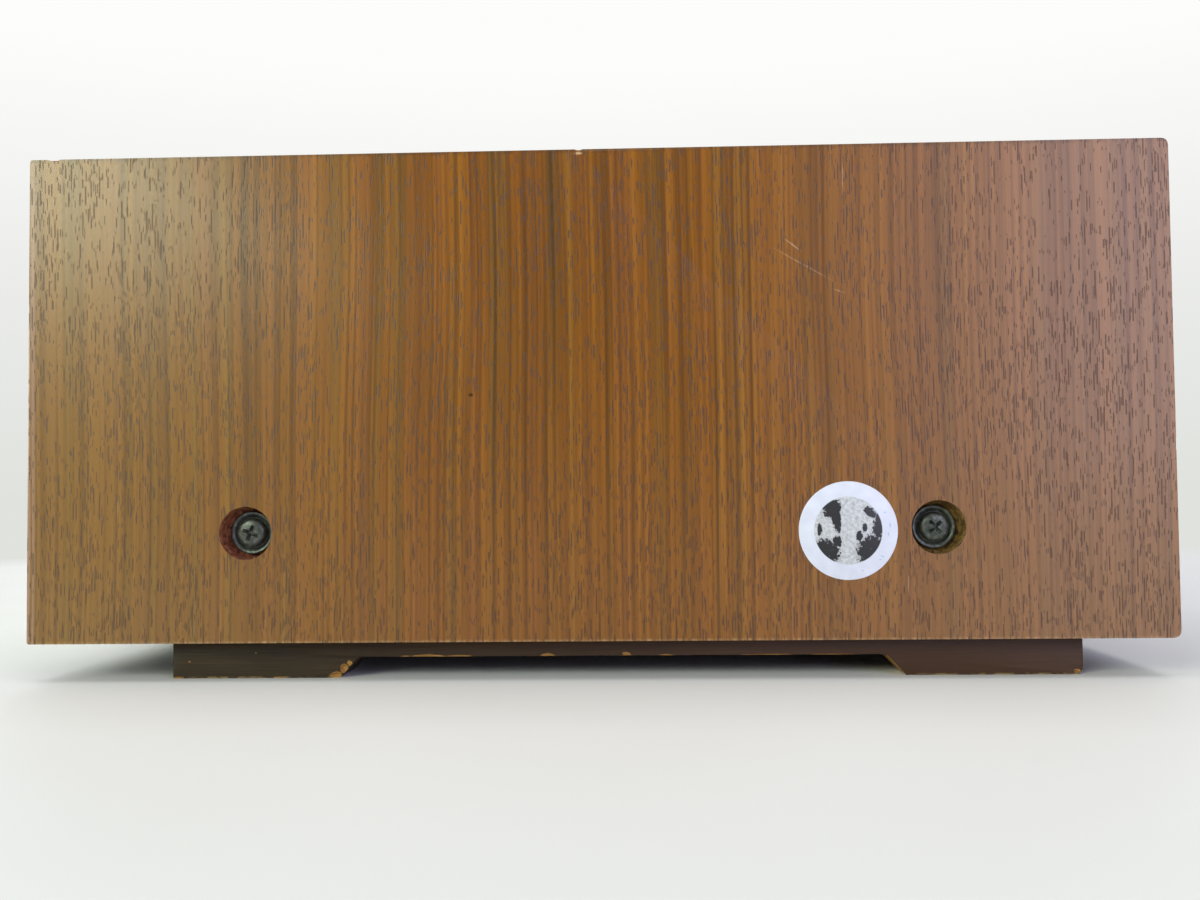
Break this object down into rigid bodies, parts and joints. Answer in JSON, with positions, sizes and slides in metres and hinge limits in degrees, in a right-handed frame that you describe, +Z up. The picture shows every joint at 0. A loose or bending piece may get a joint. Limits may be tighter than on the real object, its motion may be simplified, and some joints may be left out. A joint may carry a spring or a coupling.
{
  "type": "stereo receiver",
  "caption": "Tabletop stereo receiver in a walnut case on two foot rails, with a tuning dial, meters, knobs, lever switches and rear terminals.",
  "frame": {"origin": "under the middle of the whole receiver, on the surface it stands on", "axes": "+Z up, -Y out of the front with the dial and knobs, +X towards the right-hand side seen from the front"},
  "size_m": [0.48, 0.387, 0.1695],
  "materials": {
    "walnut_veneer": "oiled satin",
    "stained_wood": "dark stain",
    "black_oxide_steel": "black oxide",
    "zinc_steel": "zinc plated",
    "black_steel": "satin paint",
    "brushed_aluminium": "brushed",
    "turned_aluminium": "turned",
    "window_glass": "polished",
    "dial_lacquer": "matt lacquer",
    "white_plastic": "moulded",
    "red_plastic": "moulded",
    "black_plastic": "moulded",
    "phenolic_board": "pressed board",
    "bright_steel": "plated",
    "nylon_cord": "braided",
    "lamp_glass": "clear",
    "black_anodised": "anodised",
    "transformer_lacquer": "lacquered"
  },
  "bodies": {
    "case": {"side_panel_right": "walnut_veneer", "side_panel_left": "walnut_veneer", "top_panel": "walnut_veneer", "bottom_board": "stained_wood", "foot_rail_right": "stained_wood", "foot_rail_left": "stained_wood", "side_screw_right_1": "black_oxide_steel", "side_screw_right_2": "black_oxide_steel", "side_screw_left_1": "black_oxide_steel", "side_screw_left_2": "black_oxide_steel", "cup_washer_right_1": "black_oxide_steel", "cup_washer_right_2": "black_oxide_steel", "cup_washer_left_1": "black_oxide_steel", "cup_washer_left_2": "black_oxide_steel", "chassis_tray": "zinc_steel", "rear_panel": "black_steel", "front_subpanel": "zinc_steel", "faceplate": "brushed_aluminium", "dial_glass": "window_glass", "dial_backplate": "dial_lacquer", "lamp_bar": "lamp_glass", "pointer_rail": "zinc_steel", "dial_cord": "nylon_cord", "tuner_bridge": "zinc_steel", "tuning_gang": "bright_steel", "meter_case_signal": "white_plastic", "meter_case_tuning": "white_plastic", "phone_jack": "bright_steel", "control_board": "phenolic_board", "switch_bank": "black_plastic", "phono_jack_strip": "phenolic_board", "speaker_terminals": "black_plastic", "antenna_terminals": "black_plastic", "antenna_bracket": "black_plastic", "fuse_holder": "black_plastic", "power_outlet": "black_plastic", "cord_grommet": "black_plastic", "power_transformer": "transformer_lacquer", "heat_sink": "black_anodised", "amplifier_board": "phenolic_board"},
    "tuning": {"tuning_knob": "turned_aluminium", "tuning_flywheel": "bright_steel"},
    "pointer": {"dial_pointer": "red_plastic"},
    "drum": {"tuning_drum": "white_plastic"},
    "left_idler": {"idler_left": "white_plastic"},
    "right_idler": {"idler_right": "white_plastic"},
    "signal_needle": {"meter_needle_signal": "red_plastic"},
    "tuning_needle": {"meter_needle_tuning": "red_plastic"},
    "speaker_selector": {"speaker_knob": "turned_aluminium"},
    "bass": {"bass_knob": "turned_aluminium"},
    "treble": {"treble_knob": "turned_aluminium"},
    "balance": {"balance_knob": "turned_aluminium"},
    "volume": {"volume_knob": "turned_aluminium"},
    "source": {"source_knob": "turned_aluminium"},
    "power": {"power_button": "turned_aluminium"},
    "lever_1": {"lever_switch_1": "turned_aluminium"},
    "lever_2": {"lever_switch_2": "turned_aluminium"},
    "lever_3": {"lever_switch_3": "turned_aluminium"},
    "lever_4": {"lever_switch_4": "turned_aluminium"},
    "ferrite_bar": {"bar_antenna": "black_plastic"}
  },
  "joints": [
    {"name": "tuning_turn", "type": "hinge", "parent": "case", "child": "tuning", "pos_m": [0.182, -0.1525, 0.123], "axis": [0, 1, 0], "range_deg": [-900, 900]},
    {"name": "pointer_slide", "type": "slide", "parent": "case", "child": "pointer", "axis": [1, 0, 0], "range_m": [-0.0945, 0.0945]},
    {"name": "drum_turn", "type": "hinge", "parent": "case", "child": "drum", "pos_m": [0.02, -0.1525, 0.121], "axis": [0, 1, 0], "range_deg": [-226, 226]},
    {"name": "left_idler_turn", "type": "hinge", "parent": "case", "child": "left_idler", "pos_m": [-0.095, -0.1525, 0.1462], "axis": [0, 1, 0], "range_deg": [-1082, 1082]},
    {"name": "right_idler_turn", "type": "hinge", "parent": "case", "child": "right_idler", "pos_m": [0.135, -0.1525, 0.1462], "axis": [0, 1, 0], "range_deg": [-1082, 1082]},
    {"name": "signal_needle_swing", "type": "hinge", "parent": "case", "child": "signal_needle", "pos_m": [-0.183, -0.162, 0.107], "axis": [0, 1, 0], "range_deg": [0, 76], "stiffness_Nm_per_rad": 0.0005, "springref_deg": -2.86},
    {"name": "tuning_needle_swing", "type": "hinge", "parent": "case", "child": "tuning_needle", "pos_m": [-0.14, -0.162, 0.107], "axis": [0, 1, 0], "range_deg": [-38, 38], "stiffness_Nm_per_rad": 0.0005},
    {"name": "speaker_turn", "type": "hinge", "parent": "case", "child": "speaker_selector", "pos_m": [-0.128, -0.1735, 0.06], "axis": [0, 1, 0], "range_deg": [-60, 60]},
    {"name": "bass_turn", "type": "hinge", "parent": "case", "child": "bass", "pos_m": [-0.088, -0.1735, 0.06], "axis": [0, 1, 0], "range_deg": [-140, 140]},
    {"name": "treble_turn", "type": "hinge", "parent": "case", "child": "treble", "pos_m": [-0.05, -0.1735, 0.06], "axis": [0, 1, 0], "range_deg": [-140, 140]},
    {"name": "balance_turn", "type": "hinge", "parent": "case", "child": "balance", "pos_m": [0.082, -0.1735, 0.06], "axis": [0, 1, 0], "range_deg": [-140, 140]},
    {"name": "volume_turn", "type": "hinge", "parent": "case", "child": "volume", "pos_m": [0.128, -0.1735, 0.06], "axis": [0, 1, 0], "range_deg": [-150, 150]},
    {"name": "source_turn", "type": "hinge", "parent": "case", "child": "source", "pos_m": [0.178, -0.1735, 0.06], "axis": [0, 1, 0], "range_deg": [-75, 75]},
    {"name": "power_press", "type": "slide", "parent": "case", "child": "power", "axis": [0, 1, 0], "range_m": [0, 0.004], "stiffness_N_per_m": 150, "springref_m": -0.002},
    {"name": "lever_1_tilt", "type": "hinge", "parent": "case", "child": "lever_1", "pos_m": [-0.014, -0.1673, 0.06], "axis": [1, 0, 0], "range_deg": [-11, 11]},
    {"name": "lever_2_tilt", "type": "hinge", "parent": "case", "child": "lever_2", "pos_m": [0.006, -0.1673, 0.06], "axis": [1, 0, 0], "range_deg": [-11, 11]},
    {"name": "lever_3_tilt", "type": "hinge", "parent": "case", "child": "lever_3", "pos_m": [0.026, -0.1673, 0.06], "axis": [1, 0, 0], "range_deg": [-11, 11]},
    {"name": "lever_4_tilt", "type": "hinge", "parent": "case", "child": "lever_4", "pos_m": [0.046, -0.1673, 0.06], "axis": [1, 0, 0], "range_deg": [-11, 11]},
    {"name": "bar_swing", "type": "hinge", "parent": "case", "child": "ferrite_bar", "pos_m": [0.092, 0.1873, 0.138], "axis": [0, 0, -1], "range_deg": [0, 95]}
  ],
  "couplings": [
    {"joint": "pointer_slide", "follows": "tuning_turn", "m_per_rad": 0.006},
    {"joint": "drum_turn", "follows": "tuning_turn", "ratio": 0.25},
    {"joint": "left_idler_turn", "follows": "tuning_turn", "ratio": 1.2},
    {"joint": "right_idler_turn", "follows": "tuning_turn", "ratio": 1.2}
  ]
}
